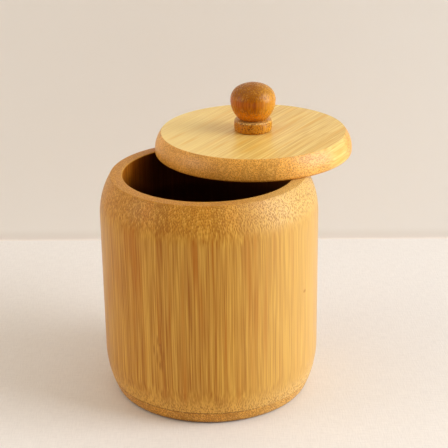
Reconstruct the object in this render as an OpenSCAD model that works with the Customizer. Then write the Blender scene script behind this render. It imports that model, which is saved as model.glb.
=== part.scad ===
// Turned bamboo candy jar, millimetres, +Z up.
// The origin is the middle of the underside, on the axis of the jar.
// The lid lies flat on the rim, pushed aside so that the mouth stands half open.

/* [Jar] */
// Diameter of the straight side, the widest place
body_d = 110; // [96:1:140]
// Height from the table to the flat top of the rim
jar_h = 115; // [90:1:150]
// Thickness of the straight side, from the bored inside to the outside
wall = 12; // [8.5:0.5:16]
// Height of the shoulder, from where the side starts to curve in to the rim
shoulder_h = 20.5; // [12:0.5:24]
// Radius of the shoulder's curve
shoulder_r = 38; // [30:1:70]
// Height at which the heel's curve runs into the straight side
heel_h = 23.5; // [16:0.5:34]
// Radius of the heel's long curve
heel_r = 52; // [38:1:90]
// Radius of the tight curve between the heel and the underside
foot_r = 2.5; // [1:0.1:5]
// Rounding of the rim's inner and outer edges
rim_edge_r = 0.5; // [0.2:0.1:1.2]

/* [Base] */
// Thickness of the disc glued under the jar
base_t = 7.2; // [6:0.2:12]

/* [Lid] */
// Thickness of the lid
lid_t = 11; // [8:0.5:14]
// How far the lid's widest circle stands out past the rim
lid_overhang = 2.3; // [0:0.1:4]
// Height of the lid's widest circle above its underside
lid_bulge_h = 2; // [1.5:0.1:5]
// Radius of the curve of the lid's side, seen in section
lid_side_r = 14; // [12:1:60]
// Rounding of the lid's lower edge
lid_edge_r = 1.1; // [0.4:0.1:1.4]
// Rounding of the lid's upper edge
lid_arris_r = 0.4; // [0.1:0.1:1]
// How far the lid is pushed aside from the jar's axis
lid_shift = 40.6; // [0:0.2:44]
// Direction in which the lid is pushed, counted from +X towards +Y
lid_heading = 54.4; // [0:0.1:360]

/* [Knob] */
// Diameter of the ball
ball_d = 23.5; // [20:0.5:27]
// Height of the ball's widest circle above the lid
ball_h = 16.4; // [15:0.2:18]
// Height of the whole knob above the lid
knob_h = 25.2; // [23:0.2:27]
// Radius of the flattish crown on top of the ball
crown_r = 16; // [14:0.5:26]
// Diameter of the neck, where the ball stands on the collar
neck_d = 13.2; // [10:0.2:16]
// Diameter of the collar at its middle
collar_d = 19.8; // [17:0.2:24]
// Height of the collar
collar_h = 6; // [4.6:0.2:7.6]
// Radius of the slight outward curve of the collar's side, seen in section
collar_side_r = 12; // [8:1:60]
// Rounding of the collar's lower edge
collar_foot_r = 0.8; // [0.3:0.1:1.8]
// Rounding of the collar's upper edge
collar_lip_r = 0.5; // [0.2:0.1:1.2]

/* [Screw] */
// Length of the wood screw, with its head
screw_l = 20; // [16:1:22]
// Diameter of the smooth shank
shank_d = 3.5; // [3:0.1:4]
// Diameter of the core that holds in the knob
core_d = 2.5; // [2:0.1:2.9]
// Diameter of the countersunk head
head_d = 7; // [6:0.1:8]
// Depth of the head's flat top below the lid's underside
head_sink = 0.8; // [0.4:0.1:1.5]
// Thickness of the straight edge of the head
head_edge = 0.4; // [0.2:0.1:0.6]
// Width of one bar of the head's cross recess
recess_w = 1; // [0.6:0.1:1.4]
// Length of one bar of the cross recess
recess_l = 3.8; // [3:0.1:4.6]
// Depth of the cross recess
recess_depth = 1.4; // [0.8:0.1:1.6]
// Clearance round the screw in the lid and in the knob
screw_gap = 0.15; // [0.1:0.05:0.3]
// Depth of the knob's pilot hole past the screw's point
pilot_over = 1.2; // [0.5:0.1:2]

/* [Hidden] */

$fn = 128;
// Chords in each curve of a turned outline
fine = 20;
coarse = 6;
// Length by which a cutting shape runs past the face that it opens
past = 1;

bamboo = [0.83, 0.62, 0.33];
pale_bamboo = [0.90, 0.73, 0.44];
browner_bamboo = [0.74, 0.52, 0.25];
knob_bamboo = [0.66, 0.38, 0.13];
steel = [0.72, 0.71, 0.68];

body_r = body_d / 2;
mouth_r = body_r - wall;
lid_z = jar_h;
knob_z = lid_z + lid_t;

// A round stretch of an outline about the point c, as points from one angle to another
function arc(c, r, from, to, chords = fine) =
    [for (i = [0:chords]) let (a = from + (to - from) * i / chords) c + r * [cos(a), sin(a)]];

// Angle of the line from a to b
function bearing(a, b) = atan2(b[1] - a[1], b[0] - a[0]);

// Centre, at height z, of a circle of radius e that touches the circle about c from inside
function nested(c, r, e, z) = [c[0] + sqrt(pow(r - e, 2) - pow(z - c[1], 2)), z];

// Distance from c of the circle's point at height z, measured along X and added to c
function reach(c, r, z) = c[0] + sqrt(pow(r, 2) - pow(z - c[1], 2));

// The jar's outside is one outline, cut across by the glue line between disc and body:
// foot curve, heel curve, straight side, shoulder curve and rim edge, each tangent to the next
heel_c = [body_r - heel_r, heel_h];
foot_c = nested(heel_c, heel_r, foot_r, foot_r);
foot_a = bearing(heel_c, foot_c);
glue_a = bearing(heel_c, [reach(heel_c, heel_r, base_t), base_t]);
shoulder_c = [body_r - shoulder_r, jar_h - shoulder_h];
rim_c = nested(shoulder_c, shoulder_r, rim_edge_r, jar_h - rim_edge_r);
rim_a = bearing(shoulder_c, rim_c);
// Radius at which the shoulder would meet the rim's plane, the size that the lid is turned to
rim_r = reach(shoulder_c, shoulder_r, jar_h);

base_outline = concat(
    [[0, 0]],
    arc(foot_c, foot_r, -90, foot_a, coarse),
    arc(heel_c, heel_r, foot_a, glue_a, coarse),
    [[0, base_t]]);

body_outline = concat(
    [[mouth_r, base_t]],
    arc(heel_c, heel_r, glue_a, 0),
    arc(shoulder_c, shoulder_r, 0, rim_a),
    arc(rim_c, rim_edge_r, rim_a, 90, coarse),
    arc([mouth_r + rim_edge_r, jar_h - rim_edge_r], rim_edge_r, 90, 180, coarse));

// The lid's side bulges between a rounded lower edge and a crisp upper one
lid_r = rim_r + lid_overhang;
side_c = [lid_r - lid_side_r, lid_bulge_h];
edge_c = nested(side_c, lid_side_r, lid_edge_r, lid_edge_r);
arris_c = nested(side_c, lid_side_r, lid_arris_r, lid_t - lid_arris_r);
edge_a = bearing(side_c, edge_c);
arris_a = bearing(side_c, arris_c);

lid_outline = concat(
    [[0, 0]],
    arc(edge_c, lid_edge_r, -90, edge_a, coarse),
    arc(side_c, lid_side_r, edge_a, arris_a),
    arc(arris_c, lid_arris_r, arris_a, 90, coarse),
    [[0, lid_t]]);

// The knob: a collar with a bulged side, then a ball made of three curves that run into each other
collar_c = [collar_d / 2 - collar_side_r, collar_h / 2];
collar_foot_c = nested(collar_c, collar_side_r, collar_foot_r, collar_foot_r);
collar_lip_c = nested(collar_c, collar_side_r, collar_lip_r, collar_h - collar_lip_r);
collar_foot_a = bearing(collar_c, collar_foot_c);
collar_lip_a = bearing(collar_c, collar_lip_c);
ball_r = ball_d / 2;
neck_r = neck_d / 2;
// The taper's centre lies level with the widest circle, and its curve runs down to the neck
taper_r = (pow(ball_r - neck_r, 2) + pow(ball_h - collar_h, 2)) / (2 * (ball_r - neck_r));
taper_c = [ball_r - taper_r, ball_h];
taper_a = bearing(taper_c, [neck_r, collar_h]);
crown_c = [0, knob_h - crown_r];
// The cheek's centre lies level with the widest circle, where its curve touches the crown's
cheek_x = (pow(ball_h - crown_c[1], 2) - pow(crown_r - ball_r, 2)) / (2 * (crown_r - ball_r));
cheek_c = [cheek_x, ball_h];
cheek_a = bearing(crown_c, cheek_c);

knob_outline = concat(
    [[0, 0]],
    arc(collar_foot_c, collar_foot_r, -90, collar_foot_a, coarse),
    arc(collar_c, collar_side_r, collar_foot_a, collar_lip_a, coarse),
    arc(collar_lip_c, collar_lip_r, collar_lip_a, 90, coarse),
    arc(taper_c, taper_r, taper_a, 0),
    arc(cheek_c, ball_r - cheek_x, 0, cheek_a, fine),
    arc(crown_c, crown_r, cheek_a, 90, coarse));

shank_r = shank_d / 2;
core_r = core_d / 2;
head_r = head_d / 2;
// The head is a 90 degree cone, so that it is as high as it is wide
head_cone = head_r - shank_r;
// The shank is smooth through the lid, and the core runs on to a point
shank_end = lid_t;
screw_tip = head_sink + screw_l;
point_l = core_d;

// Moves what belongs to the lid from the jar's axis to where the lid lies, at height z
module on_lid(z) {
    rotate([0, 0, lid_heading])
        translate([lid_shift, 0, z])
            children();
}

// Disc of laminated bamboo that closes the jar, glued flat under the body
module base_disc() {
    color(browner_bamboo)
        rotate_extrude()
            polygon(base_outline);
}

// Body turned from one laminated blank and bored straight through
module jar_body() {
    color(bamboo)
        rotate_extrude()
            polygon(body_outline);
}

// Countersunk hole for the screw, opening at the lid's underside
module screw_hole() {
    sink_r = head_r + screw_gap;
    hole_r = shank_r + screw_gap;
    cone_z = head_sink + head_edge;
    translate([0, 0, -past])
        cylinder(h = past + cone_z, r = sink_r);
    translate([0, 0, cone_z])
        cylinder(h = head_cone, r1 = sink_r, r2 = hole_r);
    cylinder(h = lid_t + past, r = hole_r);
}

// Flat-bottomed lid, turned from a laminated board
module lid() {
    color(pale_bamboo)
        on_lid(lid_z)
            difference() {
                rotate_extrude()
                    polygon(lid_outline);
                screw_hole();
            }
}

// Ball, neck and collar turned in one, with a pilot hole from below
module knob() {
    color(knob_bamboo)
        on_lid(knob_z)
            difference() {
                rotate_extrude()
                    polygon(knob_outline);
                translate([0, 0, -past])
                    cylinder(h = past + screw_tip - lid_t + pilot_over, r = core_r + screw_gap);
            }
}

// Cross recess in the screw's head
module recess() {
    for (turn = [0, 90])
        rotate([0, 0, turn])
            translate([-recess_l / 2, -recess_w / 2, -past])
                cube([recess_l, recess_w, past + recess_depth]);
}

// Countersunk wood screw that holds the knob from under the lid
module knob_screw() {
    color(steel)
        on_lid(lid_z + head_sink)
            difference() {
                union() {
                    cylinder(h = head_edge, r = head_r);
                    translate([0, 0, head_edge])
                        cylinder(h = head_cone, r1 = head_r, r2 = shank_r);
                    cylinder(h = shank_end - head_sink, r = shank_r);
                    cylinder(h = screw_l - point_l, r = core_r);
                    translate([0, 0, screw_l - point_l])
                        cylinder(h = point_l, r1 = core_r, r2 = 0);
                }
                recess();
            }
}

base_disc();
jar_body();
lid();
knob();
knob_screw();
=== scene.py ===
import math

import bmesh
import bpy
from mathutils import Matrix, Vector


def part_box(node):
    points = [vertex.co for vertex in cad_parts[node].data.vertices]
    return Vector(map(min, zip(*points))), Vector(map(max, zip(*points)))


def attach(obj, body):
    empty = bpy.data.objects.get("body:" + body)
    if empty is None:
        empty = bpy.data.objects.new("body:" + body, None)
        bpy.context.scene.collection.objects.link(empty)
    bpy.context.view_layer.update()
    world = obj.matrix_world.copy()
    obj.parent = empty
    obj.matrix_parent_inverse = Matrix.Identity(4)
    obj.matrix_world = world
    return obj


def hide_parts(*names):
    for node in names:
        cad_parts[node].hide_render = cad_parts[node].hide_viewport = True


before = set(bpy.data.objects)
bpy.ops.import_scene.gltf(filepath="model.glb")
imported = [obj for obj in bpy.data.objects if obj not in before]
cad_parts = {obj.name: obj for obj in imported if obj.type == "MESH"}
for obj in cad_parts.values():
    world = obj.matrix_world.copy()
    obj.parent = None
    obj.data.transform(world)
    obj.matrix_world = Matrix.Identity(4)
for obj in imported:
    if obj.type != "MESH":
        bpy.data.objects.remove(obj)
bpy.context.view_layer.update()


# Base disc: a round of laminated bamboo, glued flat under the body and turned together with it,
# so that the heel's curve runs on across the glue line. Its fibres lie level, and their cut ends
# show at the front.
MM = 0.001
TURN_STEPS = 256
SHARP = math.radians(32)
SAME_POINT = 0.0005

body_low, body_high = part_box("jar_body")
body_r = body_high.x / MM
jar_h = body_high.z / MM
base_t = body_low.z / MM
wall = 12
shoulder_h = 20.5
shoulder_r = 38
heel_h = 23.5
heel_r = 52
foot_r = 2.5
# The glue line is eased by a fine file cut in each piece
glue_cut = 0.14


def arc(centre, radius, start, end, chords=20):
    """Points on a round stretch of an outline, from one angle to another, in degrees."""
    angles = [math.radians(start + (end - start) * i / chords) for i in range(chords + 1)]
    return [(centre[0] + radius * math.cos(a), centre[1] + radius * math.sin(a)) for a in angles]


def bearing(a, b):
    """Angle of the line from a to b, in degrees."""
    return math.degrees(math.atan2(b[1] - a[1], b[0] - a[0]))


def nested(centre, radius, edge, height):
    """Centre, at a height, of a circle of radius edge that touches a larger circle from inside."""
    return centre[0] + math.sqrt((radius - edge) ** 2 - (height - centre[1]) ** 2), height


def reach(centre, radius, height):
    """Distance from the axis of a circle's point at a height."""
    return centre[0] + math.sqrt(radius ** 2 - (height - centre[1]) ** 2)


def turned(name, outline, centre=(0, 0), floor=0):
    """A lathe-turned piece: an outline of radii and heights in millimetres, spun about its axis."""
    work = bmesh.new()
    points = [work.verts.new((r, 0, z)) for r, z in outline]
    for a, b in zip(points, points[1:] + points[:1]):
        if a.co.x > 0 or b.co.x > 0:
            work.edges.new((a, b))
    bmesh.ops.spin(work, geom=work.verts[:] + work.edges[:], axis=(0, 0, 1), cent=(0, 0, 0),
                   angle=math.tau, steps=TURN_STEPS, use_merge=True)
    bmesh.ops.remove_doubles(work, verts=work.verts, dist=SAME_POINT)
    bmesh.ops.recalc_face_normals(work, faces=work.faces)
    bmesh.ops.translate(work, verts=work.verts, vec=(centre[0], centre[1], floor))
    bmesh.ops.scale(work, verts=work.verts, vec=(MM, MM, MM))
    return finished(name, work)


def finished(name, work):
    """Makes an object of a bmesh, smooth apart from its sharp edges."""
    for face in work.faces:
        face.smooth = True
    for edge in work.edges:
        edge.smooth = edge.calc_face_angle(0) < SHARP
    mesh = bpy.data.meshes.new(name)
    work.to_mesh(mesh)
    work.free()
    piece = bpy.data.objects.new(name, mesh)
    bpy.context.scene.collection.objects.link(piece)
    return piece


class Finish:
    """The nodes of a material, or of the room's light, with a short method for each kind of node."""

    def __init__(self, owner):
        owner.use_nodes = True
        self.owner = owner
        self.tree = owner.node_tree
        self.tree.nodes.clear()

    def node(self, kind, values=(), **settings):
        made = self.tree.nodes.new("ShaderNode" + kind)
        for key, value in settings.items():
            setattr(made, key, value)
        for key, value in dict(values).items():
            self.feed(value, made.inputs[key])
        return made

    def feed(self, value, socket):
        if isinstance(value, bpy.types.NodeSocket):
            self.tree.links.new(value, socket)
        else:
            socket.default_value = value

    def math(self, operation, *values, clamp=False):
        return self.node("Math", enumerate(values), operation=operation, use_clamp=clamp).outputs[0]

    def vector(self, operation, *values):
        made = self.node("VectorMath", enumerate(values), operation=operation)
        return made.outputs["Value" if operation in ("DOT_PRODUCT", "LENGTH") else "Vector"]

    def stretch(self, vector, scale):
        return self.vector("MULTIPLY", vector, scale)

    def smooth(self, value, start, end, low=0.0, high=1.0):
        """Runs smoothly from low at start to high at end."""
        made = self.node("MapRange", [(0, value), (1, start), (2, end), (3, low), (4, high)],
                         interpolation_type="SMOOTHSTEP")
        return made.outputs[0]

    def noise(self, vector, scale, detail=2.0, roughness=0.5, seed=0.0):
        return self.node("TexNoise", {"Vector": vector, "W": seed, "Scale": scale, "Detail": detail,
                                      "Roughness": roughness}, noise_dimensions="4D")

    def chance(self, value):
        """A random number for each whole number."""
        return self.node("TexWhiteNoise", {"W": value}, noise_dimensions="1D")

    def mix(self, share, a, b, blend="MIX"):
        made = self.node("Mix", [(0, share), (6, a), (7, b)], data_type="RGBA", blend_type=blend)
        return made.outputs[2]


# Bamboo in millimetres: depth of a strip, reach of a glued seam's soft and sharp edges, depth of
# the pores, and the soft edge and uneven size of a fibre bundle's dot
STRIP_DEPTH = 22.0
SEAM_SOFT = 0.32
SEAM_SHARP = 0.10
PORE_DEPTH = 0.14
DOT_EDGE = 0.10
DOT_SPREAD = 0.16
# Steps that keep random numbers apart: from row to row, from strips to seams, from culm to culm
ROW_APART = 37.0
SEAM_APART = 90.0
CULM_APART = 60
# How squarely the surface cuts across the fibres where dots begin, and where they are full
CUT_STARTS = 0.06
CUT_FULL = 0.32


def bamboo(name, pale, deep, amber, fibre, centre=(0, 0, 0), lean=(0, 0, 0), along=(0, 0, 1),
           strip=6.6, offset=0.0, seed=0.0, drift=0.8, streaks=0.5, dots=0.8, dot_size=0.3, pitch=0.62,
           seams=0.25, cut_tone=(0.72, 0.37, 0.075), cut_tint=0.3, cut_range=0.76, bands=(), marks=(),
           veins=(), bore=None, speckled=None, lit=(0.84, 0.50, 0.11), painted_light_side=None, rough=0.34,
           shine=0.3, coat=0.03):
    """Laminated bamboo as a solid pattern, so that a turned surface shows streaks where it runs
    with the fibres and dots where it cuts them. Lengths are millimetres and angles are degrees.
    The fibres run up the pattern, lean turns it on the piece, and along is the way they then run.
    Below the level speckled, wood with a wild grain is dotted all round."""
    f = Finish(bpy.data.materials.new(name))
    place = f.node("TexCoord")
    spot = f.node("Mapping", {"Vector": place.outputs["Object"], "Location": [c * MM for c in centre],
                              "Rotation": [math.radians(a) for a in lean], "Scale": (MM, MM, MM)},
                  vector_type="TEXTURE").outputs[0]
    level = f.stretch(place.outputs["Object"], (1 / MM, 1 / MM, 1 / MM))
    side, back, height_up = f.node("SeparateXYZ", [(0, level)]).outputs
    # The fibres wander a little on their way up
    wander = f.noise(f.stretch(spot, (0.3, 0.3, 0.2)), scale=0.08, detail=1.0, roughness=0.4,
                     seed=seed).outputs["Color"]
    wander = f.stretch(f.vector("SUBTRACT", wander, (0.5, 0.5, 0.5)), (2 * drift, 2 * drift, 0.0))
    fine = f.noise(f.stretch(spot, (1.0, 1.0, 0.10)), scale=0.5, detail=1.0, roughness=0.5,
                   seed=seed + 3).outputs["Color"]
    fine = f.stretch(f.vector("SUBTRACT", fine, (0.5, 0.5, 0.5)), (0.2 * drift, 0.2 * drift, 0.0))
    spot = f.vector("ADD", spot, wander)
    axis = f.node("SeparateXYZ", [(0, spot)]).outputs
    # Strips glued side by side along X, each from another culm
    column = f.math("DIVIDE", f.math("SUBTRACT", axis[0], offset), strip)
    number = f.math("FLOOR", column)
    stagger = f.math("MULTIPLY", f.chance(number).outputs["Value"], STRIP_DEPTH)
    row = f.math("FLOOR", f.math("DIVIDE", f.math("ADD", axis[1], stagger), STRIP_DEPTH))
    culm = f.chance(f.math("ADD", f.math("MULTIPLY", row, ROW_APART), f.math("ADD", number, seed)))
    tone = culm.outputs["Value"]
    across = f.math("FRACT", column)
    edge = f.math("ABSOLUTE", f.math("SUBTRACT", across, 0.5))
    seam = f.smooth(edge, 0.5 - SEAM_SOFT / strip, 0.5 - SEAM_SHARP / strip)
    seam_number = f.math("ADD", f.math("FLOOR", f.math("ADD", column, 0.5)), SEAM_APART)
    seam_tone = f.chance(seam_number).outputs["Value"]
    # Soft broad streaks, finer ones within them, hair lines, pale and dark veins, fibre bundles
    culm_place = f.stretch(culm.outputs["Color"], (CULM_APART, CULM_APART, CULM_APART))
    own = f.vector("ADD", f.vector("ADD", spot, fine), culm_place)

    def streak(squeeze, scale, detail, roughness, step):
        """Noise that is drawn out along the fibres, the more the smaller its squeeze is."""
        drawn_out = f.stretch(own, (1.0, 1.0, squeeze))
        return f.noise(drawn_out, scale, detail, roughness, seed + step).outputs[0]

    broad = streak(squeeze=0.010, scale=0.38, detail=2.0, roughness=0.5, step=0)
    thin = streak(squeeze=0.012, scale=1.0, detail=2.5, roughness=0.62, step=5)
    hair = streak(squeeze=0.020, scale=1.6, detail=1.0, roughness=0.5, step=7)
    patch = streak(squeeze=0.06, scale=0.22, detail=1.0, roughness=0.5, step=13)
    drawn_vein = streak(squeeze=0.004, scale=0.30, detail=1.0, roughness=0.5, step=17)

    def vein_at(level_of_noise):
        """A thin line wherever the noise passes a level."""
        off = f.math("ABSOLUTE", f.math("SUBTRACT", drawn_vein, level_of_noise))
        return f.smooth(off, 0.030, 0.004)

    pale_vein = vein_at(0.53)
    dark_vein = vein_at(0.45)
    cells = f.node("TexVoronoi", {"Vector": own, "Scale": 1 / pitch, "Randomness": 0.85},
                   voronoi_dimensions="2D")
    size, kind = f.node("SeparateColor", [(0, cells.outputs["Color"])]).outputs[:2]
    from_bundle = f.math("SUBTRACT", cells.outputs["Distance"], f.math("MULTIPLY", size, DOT_SPREAD))
    bundle = f.smooth(from_bundle, dot_size + DOT_EDGE, dot_size - DOT_EDGE)
    cut = f.math("ABSOLUTE", f.vector("DOT_PRODUCT", place.outputs["Normal"], along))
    ends = f.smooth(cut, CUT_STARTS, CUT_FULL)

    # The shade runs from deep at 0 to pale at 1, and each part moves it by a weight of its own
    shade = f.math("MULTIPLY", f.math("SUBTRACT", tone, 0.5), 0.24)
    for part, weight in ((broad, 0.7), (thin, 2.8), (hair, 3.4)):
        shade = f.math("MULTIPLY_ADD", f.math("SUBTRACT", part, 0.5), weight * streaks, shade)
    shade = f.math("MULTIPLY_ADD", pale_vein, 0.5 * streaks, shade)
    shade = f.math("MULTIPLY_ADD", dark_vein, -0.4 * streaks, shade)
    shade = f.math("ADD", shade, 0.50, clamp=True)
    colour = f.mix(shade, (*deep, 1), (*pale, 1))
    colour = f.mix(f.smooth(patch, 0.50, 0.72, 0.0, 0.75), colour, (*amber, 1))
    seam_colour = f.mix(f.smooth(seam_tone, 0.45, 0.55), (*fibre, 1), (*pale, 1))
    colour = f.mix(f.math("MULTIPLY", seam, seams), colour, seam_colour)
    # Cut ends have their own colour, with dots in it, and differ from strip to strip
    cut_colour = f.mix(tone, tuple(cut_range * c for c in cut_tone) + (1,), (*cut_tone, 1))
    colour = f.mix(f.math("MULTIPLY", ends, cut_tint), colour, cut_colour)
    dot_share = f.math("MULTIPLY", bundle, f.smooth(ends, 0, 1, 0.06, dots))
    if speckled:
        specks = f.node("TexVoronoi", {"Vector": level, "Scale": 1.25, "Randomness": 1.0})
        kind = f.node("SeparateColor", [(0, specks.outputs["Color"])]).outputs[1]
        speck = f.smooth(specks.outputs["Distance"], 0.50, 0.30)
        wild = f.smooth(height_up, speckled + 0.2, speckled - 0.2)
        dot_share = f.math("MAXIMUM", dot_share, f.math("MULTIPLY", speck, wild))
    for low, high, blur, tint, share in bands:
        band = f.math("MULTIPLY", f.smooth(height_up, low - blur, low + blur),
                      f.smooth(height_up, high + blur, high - blur))
        colour = f.mix(f.math("MULTIPLY", band, share), colour, (*tint, 1))
    # Painted light: the colour is painted paler towards one side of the piece, standing in for the
    # light that falls on that side
    if painted_light_side:
        tint, reach_x, share, cut_share = painted_light_side
        painted_light_share = f.smooth(side, centre[0], centre[0] + reach_x)
        painted_light_share = f.math("MULTIPLY", painted_light_share, f.smooth(ends, 0, 1, share, cut_share))
        colour = f.mix(painted_light_share, colour, (*tint, 1))
    speck_tone = f.mix(f.smooth(kind, 0.71, 0.73), (*fibre, 1), (*lit, 1))
    colour = f.mix(dot_share, colour, speck_tone)
    height = f.math("SUBTRACT", f.math("MULTIPLY", thin, 0.6), f.math("MULTIPLY", dot_share, 0.8))

    # Amber veins lie along the grain, each with its place, half its width and half its length
    for x, y, width, length in veins:
        away = f.vector("SUBTRACT", level, (x, y, 0))
        up_grain = f.math("DIVIDE", f.vector("DOT_PRODUCT", away, along), length)
        off_grain = f.math("DIVIDE", f.vector("DOT_PRODUCT", away, (-along[1], along[0], 0)), width)
        apart = f.vector("LENGTH", f.node("CombineXYZ", [(0, up_grain), (1, off_grain)]).outputs[0])
        colour = f.mix(f.smooth(apart, 1.2, 0.1, 0, 0.6), colour, (*amber, 1))

    # Nodes of the culm show at the front as short dashes, darker than the wood around them
    for x, z, width, length in marks:
        away = f.stretch(f.vector("SUBTRACT", level, (x, 0, z)), (1 / width, 0.0, 1 / length))
        dash = f.smooth(f.vector("LENGTH", away), 1.4, 0.2)
        at_front = f.smooth(back, centre[1] - 3, centre[1] - 8)
        dash = f.math("MULTIPLY", dash, at_front)
        colour = f.mix(f.math("MULTIPLY", dash, 0.65), colour, (*fibre, 1))

    # Painted shade inside a bored piece: the inside is painted warmer, as light bounced round the
    # bore, and then dark, as shade deep down. The painted shade fades to the plain wood at the mouth,
    # but less so at the back, where the lid's shadow falls, and the mouth's edge has a painted
    # highlight along its arris.
    if bore:
        radius, fade_low, fade_high, shade_tint = bore
        flat = f.stretch(level, (1.0, 1.0, 0.0))
        out = f.vector("LENGTH", flat)
        inside = f.smooth(out, radius + 0.05, radius + 0.01)
        back_fade = f.smooth(back, 10, 34, 0, 0.9)
        fade = f.math("MAXIMUM", f.smooth(height_up, fade_high, fade_low), back_fade)
        deep_in = f.math("MULTIPLY", inside, fade)
        # Painted light: the inside is painted warmer, as light bounced round the bore
        bounce_warmed = f.mix(1.0, colour, (1.0, 0.68, 0.42, 1), "MULTIPLY")
        colour = f.mix(inside, colour, bounce_warmed)
        # Painted shade deep in the bore and at the back, under the lid
        shaded_in = f.mix(1.0, colour, (*shade_tint, 1), "MULTIPLY")
        colour = f.mix(deep_in, colour, shaded_in)
        # Painted highlight along the mouth's arris
        arris = f.math("MULTIPLY", f.smooth(out, radius + 0.8, radius + 0.3),
                       f.smooth(height_up, fade_high - 0.7, fade_high - 0.3))
        colour = f.mix(f.math("MULTIPLY", arris, 0.5), colour, (*lit, 1))

    bump = f.node("Bump", {"Strength": 0.5, "Distance": PORE_DEPTH * MM, "Height": height})
    roughness = f.math("ADD", f.math("MULTIPLY", f.math("SUBTRACT", thin, 0.5), 0.18), rough)
    roughness = f.math("MULTIPLY_ADD", dot_share, 0.15, roughness)
    surface = f.node("BsdfPrincipled", {"Base Color": colour, "Roughness": roughness,
                                        "Normal": bump.outputs[0], "Coat Weight": coat,
                                        "Coat Roughness": 0.30, "Specular IOR Level": shine})
    f.tree.links.new(surface.outputs[0], f.node("OutputMaterial").inputs[0])
    return f.owner


heel_c = (body_r - heel_r, heel_h)
foot_c = nested(heel_c, heel_r, foot_r, foot_r)
foot_a = bearing(heel_c, foot_c)
disc_top_a = bearing(heel_c, (reach(heel_c, heel_r, base_t - glue_cut), base_t - glue_cut))
glue_r = reach(heel_c, heel_r, base_t) - glue_cut

base_disc = turned("base_disc_turned", [
    (0, 0),
    *arc(foot_c, foot_r, -90, foot_a, 8),
    *arc(heel_c, heel_r, foot_a, disc_top_a, 8),
    (glue_r, base_t),
    (0, base_t),
])
# Its fibres run 82 degrees round from the jar's right
base_along = (0.139, 0.990, 0)
base_lean = (90, 0, 172)
# Bands of another tone: lowest and highest level, softness of the edges, colour and share
base_bands = [
    # Painted shade: the lowest band darkens the curve under the disc, where it meets the floor
    (-1, 1.2, 1.2, (0.09, 0.035, 0.004), 0.85),
    (6.7, 8, 0.2, (0.20, 0.08, 0.01), 0.7),
]
# Painted light, paler towards the lit side: colour, reach to that side, share along the fibres and
# across them
base_painted_light_side = ((0.86, 0.54, 0.14), 50, 0.5, 0.65)
base_disc.data.materials.append(bamboo(
    "bamboo_base", pale=(0.68, 0.33, 0.030), deep=(0.40, 0.14, 0.004), amber=(0.48, 0.17, 0.004),
    fibre=(0.30, 0.100, 0.003), cut_tone=(0.78, 0.37, 0.045), cut_tint=0.65, lean=base_lean,
    along=base_along, strip=7.5, offset=2.0, seed=4.0, streaks=0.45, dots=0.75, bands=base_bands,
    painted_light_side=base_painted_light_side))
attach(base_disc, "root")
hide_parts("base_disc")


# Body: one block of bamboo strips glued side by side with the fibres upright, turned outside and
# bored straight through. The strips show as tall streaks on the side and as dots on the curves.
rim_edge_r = 0.5
mouth_r = body_r - wall
side_rows = 14

body_foot_a = bearing(heel_c, (reach(heel_c, heel_r, base_t + glue_cut), base_t + glue_cut))
shoulder_c = (body_r - shoulder_r, jar_h - shoulder_h)
rim_c = nested(shoulder_c, shoulder_r, rim_edge_r, jar_h - rim_edge_r)
rim_a = bearing(shoulder_c, rim_c)
side_h = shoulder_c[1] - heel_h
straight_side = [(body_r, heel_h + side_h * i / side_rows) for i in range(1, side_rows)]
bore_rows = [(mouth_r, jar_h - 1 + (base_t + 1 - jar_h) * i / side_rows) for i in range(side_rows)]

jar_body = turned("jar_body_turned", [
    (mouth_r, base_t),
    (glue_r, base_t),
    *arc(heel_c, heel_r, body_foot_a, 0, 24),
    *straight_side,
    *arc(shoulder_c, shoulder_r, 0, rim_a, 32),
    *arc(rim_c, rim_edge_r, rim_a, 90, 6),
    *arc((mouth_r + rim_edge_r, jar_h - rim_edge_r), rim_edge_r, 90, 180, 6),
    *bore_rows,
])
# Bands of another tone. The first is painted light: the heel is painted paler, standing in for light
# bounced up from the floor. The second darkens the rim's top.
body_bands = [
    (-5, 13, 5, (0.90, 0.55, 0.11), 0.42),
    (114.75, 116, 0.15, (0.52, 0.22, 0.018), 0.5),
]
# Painted light: the body is painted paler towards the right, where the window lights it, most of all
# on the cut ends
body_painted_light_side = ((0.76, 0.51, 0.17), 48, 0.45, 0.95)
# The painted shade inside: radius, levels between which it fades away, and its tint
body_bore_shade = (mouth_r, 91, 115, (0.09, 0.06, 0.04))
# Marks of the culm's nodes: place across, height, half the width and half the length
body_marks = [
    (-26.1, 45.6, 0.5, 3.0),
    (-25.0, 43.6, 0.7, 0.9),
    (-24.7, 40.5, 0.5, 3.0),
    (-28.0, 40.4, 0.5, 3.0),
    (-23.5, 37.8, 0.5, 3.2),
    (-26.6, 36.1, 0.6, 4.0),
    (-24.2, 33.2, 0.7, 4.0),
    (-25.3, 32.4, 0.6, 2.5),
    (46.3, 62.1, 0.7, 0.9),
]
jar_body.data.materials.append(bamboo(
    "bamboo_body", pale=(0.69, 0.385, 0.058), deep=(0.37, 0.122, 0.001), amber=(0.47, 0.15, 0.001),
    fibre=(0.35, 0.120, 0.004), cut_tone=(0.66, 0.30, 0.032), cut_tint=0.62, lit=(0.74, 0.41, 0.075),
    offset=0.7, seed=0.0, streaks=0.52, dots=0.78, dot_size=0.28, pitch=0.54, painted_light_side=body_painted_light_side,
    bore=body_bore_shade, bands=body_bands, marks=body_marks))
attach(jar_body, "root")
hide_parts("jar_body")


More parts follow.
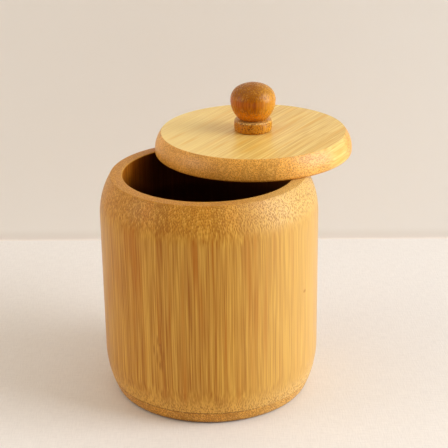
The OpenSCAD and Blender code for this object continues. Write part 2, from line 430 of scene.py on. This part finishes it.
# Lid: a flat disc turned from a board of paler bamboo strips, with a bulged side, a crisp upper
# edge and a countersunk hole for the knob's screw. It lies on the rim, pushed aside.
lid_low, lid_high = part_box("lid")
lid_x = (lid_low.x + lid_high.x) / 2 / MM
lid_y = (lid_low.y + lid_high.y) / 2 / MM
lid_z = lid_low.z / MM
lid_r = (lid_high.x - lid_low.x) / 2 / MM
lid_t = (lid_high.z - lid_low.z) / MM
lid_bulge_h = 2
lid_side_r = 14
lid_edge_r = 1.1
lid_arris_r = 0.4
hole_r = 1.9
sink_r = 3.65
sink_z = 1.2
grain_heading = 58

side_c = (lid_r - lid_side_r, lid_bulge_h)
edge_c = nested(side_c, lid_side_r, lid_edge_r, lid_edge_r)
arris_c = nested(side_c, lid_side_r, lid_arris_r, lid_t - lid_arris_r)
edge_a = bearing(side_c, edge_c)
arris_a = bearing(side_c, arris_c)

lid = turned("lid_turned", [
    (sink_r, 0),
    *arc(edge_c, lid_edge_r, -90, edge_a, 8),
    *arc(side_c, lid_side_r, edge_a, arris_a, 20),
    *arc(arris_c, lid_arris_r, arris_a, 90, 6),
    (hole_r, lid_t),
    (hole_r, sink_z + sink_r - hole_r),
    (sink_r, sink_z),
], (lid_x, lid_y), lid_z)
heading = math.radians(grain_heading)
# Painted shade: the lid's lowest edge, where it rests on the rim, is painted darker
lid_bands = [(lid_z - 1, lid_z + 0.9, 0.9, (0.58, 0.21, 0.02), 0.6)]
# Painted light: the lid's top is painted paler towards the left
lid_painted_light_side = ((0.96, 0.77, 0.31), -42, 0.55, 0.0)
# Amber veins: place across and to the back, half the width and half the length
lid_veins = [
    (22.1, 3.0, 1.7, 13),
    (17.0, 11.4, 1.4, 9),
    (6.0, 7.5, 1.1, 12),
    (-9.6, 15.5, 1.5, 12),
    (-16.3, 24.0, 1.2, 11),
    (40.1, 9.3, 1.0, 9),
]
lid.data.materials.append(bamboo(
    "bamboo_lid", pale=(0.92, 0.71, 0.250), deep=(0.68, 0.39, 0.060), amber=(0.78, 0.44, 0.055),
    fibre=(0.44, 0.16, 0.008), lit=(0.96, 0.56, 0.12), cut_tone=(0.92, 0.43, 0.050), cut_tint=0.88,
    cut_range=0.78, centre=(lid_x, lid_y, lid_z), lean=(90, 0, 90 + grain_heading),
    along=(math.cos(heading), math.sin(heading), 0), strip=7.2, offset=1.5, seed=9.0, drift=1.8,
    streaks=0.52, dots=0.66, dot_size=0.28, seams=0.10, painted_light_side=lid_painted_light_side, veins=lid_veins,
    bands=lid_bands, shine=0.6, coat=0.05))
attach(lid, "root")
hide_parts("lid")


# Knob: ball and collar turned in one from darker bamboo with upright fibres, with a pilot hole
# from below, and lacquered glossier than the rest.
knob_low, knob_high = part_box("knob")
knob_z = knob_low.z / MM
knob_h = (knob_high.z - knob_low.z) / MM
ball_r = (knob_high.x - knob_low.x) / 2 / MM
ball_h = 16.4
crown_r = 16
neck_r = 6.6
collar_r = 9.9
collar_h = 6
collar_side_r = 12
collar_foot_r = 0.8
collar_lip_r = 0.5
pilot_r = 1.4
pilot_h = 11

collar_c = (collar_r - collar_side_r, collar_h / 2)
collar_foot_c = nested(collar_c, collar_side_r, collar_foot_r, collar_foot_r)
collar_lip_c = nested(collar_c, collar_side_r, collar_lip_r, collar_h - collar_lip_r)
collar_foot_a = bearing(collar_c, collar_foot_c)
collar_lip_a = bearing(collar_c, collar_lip_c)
taper_r = ((ball_r - neck_r) ** 2 + (ball_h - collar_h) ** 2) / (2 * (ball_r - neck_r))
taper_c = (ball_r - taper_r, ball_h)
taper_a = bearing(taper_c, (neck_r, collar_h))
crown_c = (0, knob_h - crown_r)
# The cheek's curve joins the widest circle to the crown and touches both
cheek_x = ((ball_h - crown_c[1]) ** 2 - (crown_r - ball_r) ** 2) / (2 * (crown_r - ball_r))
cheek_c = (cheek_x, ball_h)
cheek_a = bearing(crown_c, cheek_c)

knob = turned("knob_turned", [
    (pilot_r, 0),
    *arc(collar_foot_c, collar_foot_r, -90, collar_foot_a, 8),
    *arc(collar_c, collar_side_r, collar_foot_a, collar_lip_a, 8),
    *arc(collar_lip_c, collar_lip_r, collar_lip_a, 90, 6),
    *arc(taper_c, taper_r, taper_a, 0, 20),
    *arc(cheek_c, ball_r - cheek_x, 0, cheek_a, 20)[1:],
    *arc(crown_c, crown_r, cheek_a, 90, 16)[1:-1],
    (0, knob_h),
    (0, pilot_h),
    (pilot_r, pilot_h),
], (lid_x, lid_y), knob_z)
collar_top = knob_z + collar_h
# The collar's side; the ball's underside, painted a brighter orange as light bounced up from the lid;
# its crown; and the collar's lip, painted paler as a highlight along its edge
knob_bands = [
    (knob_z - 1, collar_top, 0.2, (0.66, 0.29, 0.02), 0.5),
    (collar_top + 1, collar_top + 6, 2.5, (0.84, 0.245, 0.0), 0.6),
    (knob_z + 20, knob_z + 30, 2.5, (0.27, 0.105, 0.006), 0.5),
    (collar_top - 0.6, collar_top + 0.1, 0.2, (0.95, 0.70, 0.26), 0.7),
]
# Painted light: the knob is painted paler towards the right, where the window lights it
knob_painted_light_side = ((0.80, 0.43, 0.04), 11, 0.5, 0.5)
knob.data.materials.append(bamboo(
    "bamboo_knob", pale=(0.60, 0.195, 0.0), deep=(0.31, 0.065, 0.0), amber=(0.46, 0.10, 0.0),
    fibre=(0.20, 0.055, 0.0), lit=(0.58, 0.27, 0.03), cut_tone=(0.54, 0.22, 0.006), pitch=0.8,
    centre=(lid_x, lid_y, knob_z), strip=9.0, offset=3.0, seed=15.0, streaks=0.5, dots=0.55,
    speckled=collar_top, bands=knob_bands, painted_light_side=knob_painted_light_side, rough=0.26, coat=0.03, shine=0.25))
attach(knob, "root")
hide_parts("knob")


# Screw: a zinc plated countersunk wood screw, driven from under the lid up into the knob, with a
# rolled thread and a cross recess in its head.
screw_low, screw_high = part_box("knob_screw")
screw_z = screw_low.z / MM
screw_l = (screw_high.z - screw_low.z) / MM
head_r = (screw_high.x - screw_low.x) / 2 / MM
head_edge = 0.4
shank_r = 1.75
core_r = 1.25
point_l = 2.5
shank_top = lid_z + lid_t - screw_z
thread_pitch = 1.3
thread_turns = 6
thread_steps = 24
# The thread starts a little above the shank. Its tooth is rooted inside the core.
thread_start = 0.6
tooth_half = 0.45
tooth_root_r = core_r - 0.1
recess_w = 1
recess_l = 3.8
recess_depth = 1.4

screw = turned("screw_driven", [
    (0, 0),
    (head_r, 0),
    (head_r, head_edge),
    (shank_r, head_edge + head_r - shank_r),
    (shank_r, shank_top),
    (core_r, shank_top),
    (core_r, screw_l - point_l),
    (0, screw_l),
], (lid_x, lid_y), screw_z)

cutter_work = bmesh.new()
for bar in ((recess_l, recess_w), (recess_w, recess_l)):
    cube = bmesh.ops.create_cube(cutter_work, size=1)["verts"]
    bmesh.ops.scale(cutter_work, verts=cube, vec=(bar[0] * MM, bar[1] * MM, 2 * recess_depth * MM))
bmesh.ops.translate(cutter_work, verts=cutter_work.verts, vec=(lid_x * MM, lid_y * MM, screw_z * MM))
cutter = finished("recess_cutter", cutter_work)
recess = screw.modifiers.new("recess", "BOOLEAN")
recess.operation = "DIFFERENCE"
recess.solver = "EXACT"
recess.use_self = True
recess.object = cutter
bpy.context.view_layer.update()
recessed = screw.evaluated_get(bpy.context.evaluated_depsgraph_get())
cut_mesh = bpy.data.meshes.new_from_object(recessed)

thread_work = bmesh.new()
thread_work.from_mesh(cut_mesh)
thread_z = screw_z + shank_top + thread_start
tooth = [thread_work.verts.new(((lid_x + r) * MM, lid_y * MM, (thread_z + z) * MM))
         for r, z in ((tooth_root_r, -tooth_half), (shank_r, 0), (tooth_root_r, tooth_half))]
bmesh.ops.spin(thread_work, geom=[thread_work.faces.new(tooth)], axis=(0, 0, 1),
               cent=(lid_x * MM, lid_y * MM, 0), dvec=(0, 0, thread_pitch / thread_steps * MM),
               angle=math.tau * thread_turns, steps=thread_steps * thread_turns)
bmesh.ops.recalc_face_normals(thread_work, faces=thread_work.faces)
screw.modifiers.clear()
screw.data.clear_geometry()
for edge in thread_work.edges:
    edge.smooth = edge.calc_face_angle(0) < SHARP
thread_work.to_mesh(screw.data)
thread_work.free()
bpy.data.objects.remove(cutter)

zinc = Finish(bpy.data.materials.new("zinc_plating"))
zinc_spot = zinc.node("TexCoord").outputs["Object"]
brushed = zinc.noise(zinc.stretch(zinc_spot, (1000, 1000, 4000)), 0.9, 3.0, 0.6).outputs[0]
zinc_colour = zinc.mix(brushed, (0.42, 0.41, 0.38, 1), (0.66, 0.65, 0.60, 1))
zinc_rough = zinc.smooth(brushed, 0.3, 0.7, 0.24, 0.42)
zinc_bump = zinc.node("Bump", {"Strength": 0.2, "Distance": 0.00005, "Height": brushed})
zinc_surface = zinc.node("BsdfPrincipled", {"Base Color": zinc_colour, "Roughness": zinc_rough,
                                            "Metallic": 1.0, "Normal": zinc_bump.outputs[0]})
zinc.tree.links.new(zinc_surface.outputs[0], zinc.node("OutputMaterial").inputs[0])
screw.data.materials.append(zinc.owner)
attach(screw, "root")
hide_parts("knob_screw")


# Floor and wall: a plain pale floor with a fine weave, which keeps the jar's shadow and is painted
# darker away from the jar as painted light falloff, and a beige wall a hand's breadth behind the jar.
# The wall shows from its front only, so that it never hides the jar.
# These are metres, apart from the small cove at the wall's foot, which is in millimetres
wall_y = 0.192
wall_turn = 0.036
cove_r = 1
floor_half = 3.0
wall_half = 2.4
wall_top = 1.6
# The wall stands just clear of the floor
wall_clear = 0.0002
# Painted light falloff: the floor is painted darker between these distances from the jar
falloff_from = 0.22
falloff_to = 0.80

floor_work = bmesh.new()
bmesh.ops.create_grid(floor_work, x_segments=1, y_segments=1, size=floor_half)
floor = finished("table_floor", floor_work)
pale_floor = Finish(bpy.data.materials.new("pale_floor"))
floor_spot = pale_floor.node("TexCoord").outputs["Object"]
weave_a = pale_floor.noise(pale_floor.stretch(floor_spot, (1600, 160, 1)), 1.0, 1.0).outputs[0]
weave_b = pale_floor.noise(pale_floor.stretch(floor_spot, (160, 1600, 1)), 1.0, 1.0).outputs[0]
weave = pale_floor.math("ADD", weave_a, weave_b)
weave_share = pale_floor.smooth(weave, 0.7, 1.3)
floor_colour = pale_floor.mix(weave_share, (0.80, 0.795, 0.80, 1), (0.85, 0.845, 0.845, 1))
# Painted light falloff: darker paint away from the jar
floor_light_falloff = pale_floor.smooth(pale_floor.vector("LENGTH", floor_spot), falloff_from, falloff_to)
floor_colour = pale_floor.mix(floor_light_falloff, floor_colour, (0.54, 0.535, 0.54, 1))
floor_bump = pale_floor.node("Bump", {"Strength": 0.25, "Distance": 0.0003, "Height": weave})
floor_surface = pale_floor.node("BsdfPrincipled", {"Base Color": floor_colour, "Roughness": 0.95,
                                                   "Normal": floor_bump.outputs[0],
                                                   "Specular IOR Level": 0.1})
pale_floor.tree.links.new(floor_surface.outputs[0], pale_floor.node("OutputMaterial").inputs[0])
floor.data.materials.append(pale_floor.owner)

wall_work = bmesh.new()
wall_skew = wall_half * wall_turn
cove = [((wall_y + wall_skew) / MM - cove_r + y, z) for y, z in arc((0, cove_r), cove_r, -90, 0, 10)]
wall_line = [wall_work.verts.new((-wall_half, y * MM, z * MM + wall_clear)) for y, z in cove]
wall_line.append(wall_work.verts.new((-wall_half, wall_y + wall_skew, wall_top)))
wall_edges = [wall_work.edges.new(pair) for pair in zip(wall_line, wall_line[1:])]
wall_sheet = bmesh.ops.extrude_edge_only(wall_work, edges=wall_edges)["geom"]
far_points = [v for v in wall_sheet if isinstance(v, bmesh.types.BMVert)]
bmesh.ops.translate(wall_work, verts=far_points, vec=(2 * wall_half, -2 * wall_skew, 0))
wall_work.normal_update()
if sum((face.normal for face in wall_work.faces), Vector()).y > 0:
    bmesh.ops.reverse_faces(wall_work, faces=wall_work.faces)
backdrop = finished("beige_wall", wall_work)
paint = Finish(bpy.data.materials.new("beige_paint"))
paint_spot = paint.node("TexCoord").outputs["Object"]
paint_tone = paint.noise(paint_spot, 3.0, 1.0).outputs[0]
paint_colour = paint.mix(paint_tone, (0.85, 0.835, 0.81, 1), (0.88, 0.865, 0.84, 1))
paint_height = paint.node("SeparateXYZ", [(0, paint_spot)]).outputs[2]
# Its foot is a little darker, with a pale line where it meets the floor
foot_shade = paint.smooth(paint_height, 0.009, 0.003, 0, 0.5)
paint_colour = paint.mix(foot_shade, paint_colour, (0.77, 0.73, 0.69, 1))
foot_line = paint.smooth(paint_height, 0.003, 0.0)
paint_colour = paint.mix(foot_line, paint_colour, (0.84, 0.80, 0.77, 1))
paint_front = paint.node("BsdfPrincipled", {"Base Color": paint_colour, "Roughness": 0.95,
                                            "Specular IOR Level": 0.1})
one_way = paint.node("MixShader", [(0, paint.node("NewGeometry").outputs["Backfacing"]),
                                   (1, paint_front.outputs[0]),
                                   (2, paint.node("BsdfTransparent").outputs[0])])
paint.tree.links.new(one_way.outputs[0], paint.node("OutputMaterial").inputs[0])
backdrop.data.materials.append(paint.owner)


# Light: a wide soft window at the right that shapes the jar, a weak warm light at the left, and a
# warm room around them that is dimmer behind the camera, so that the front stays deep in colour.
def soft_light(name, place, aim, width, height, power, colour):
    """A soft rectangular light that faces the point it is aimed at."""
    lamp = bpy.data.lights.new(name, "AREA")
    lamp.shape = "RECTANGLE"
    lamp.size = width
    lamp.size_y = height
    lamp.energy = power
    lamp.color = colour
    holder = bpy.data.objects.new(name, lamp)
    holder.location = place
    holder.rotation_euler = (Vector(aim) - Vector(place)).to_track_quat("-Z", "Y").to_euler()
    bpy.context.scene.collection.objects.link(holder)


daylight = (0.98, 0.99, 1.0)
warm_light = (1.0, 0.85, 0.68)
soft_light("window", place=(1.87, -0.32, 0.86), aim=(0, 0, 0.06), width=1.44, height=1.76, power=48,
           colour=daylight)
soft_light("far_window", place=(-0.98, -0.24, 0.44), aim=(0, 0, 0.09), width=0.5, height=0.45,
           power=2.0, colour=warm_light)

room = bpy.data.worlds.new("room")
air = Finish(room)
toward_back = air.node("SeparateXYZ", [(0, air.node("TexCoord").outputs["Generated"])]).outputs[1]
room_level = air.smooth(toward_back, start=-0.95, end=0.1, low=0.27, high=1.04)
room_light = air.node("Background", [(0, (*warm_light, 1)), (1, room_level)])
room_seen = air.node("Background", [(0, (0.80, 0.71, 0.60, 1)), (1, 1.0)])
which = air.node("MixShader", [(0, air.node("LightPath").outputs["Is Camera Ray"]),
                               (1, room_light.outputs[0]), (2, room_seen.outputs[0])])
air.tree.links.new(which.outputs[0], air.node("OutputWorld").inputs[0])
bpy.context.scene.world = room


# Camera: a long lens in front of the jar, 33 cm above the floor, that looks down on it as the
# photograph does.
camera_place = (0, -0.6113, 0.3276)
camera_pitch = 0.3754
camera_pan = 0.0121
camera_roll = -0.0144
focal_px = 1295.3
frame_px = 448

lens = bpy.data.cameras.new("front_view")
lens.sensor_width = 36
lens.lens = focal_px * lens.sensor_width / frame_px
camera = bpy.data.objects.new("front_view", lens)
camera.matrix_world = (Matrix.Translation(camera_place) @ Matrix.Rotation(-camera_pan, 4, "Z")
                       @ Matrix.Rotation(math.pi / 2 - camera_pitch, 4, "X")
                       @ Matrix.Rotation(camera_roll, 4, "Z"))
bpy.context.scene.collection.objects.link(camera)
bpy.context.scene.camera = camera
bpy.context.scene.view_settings.view_transform = "Standard"
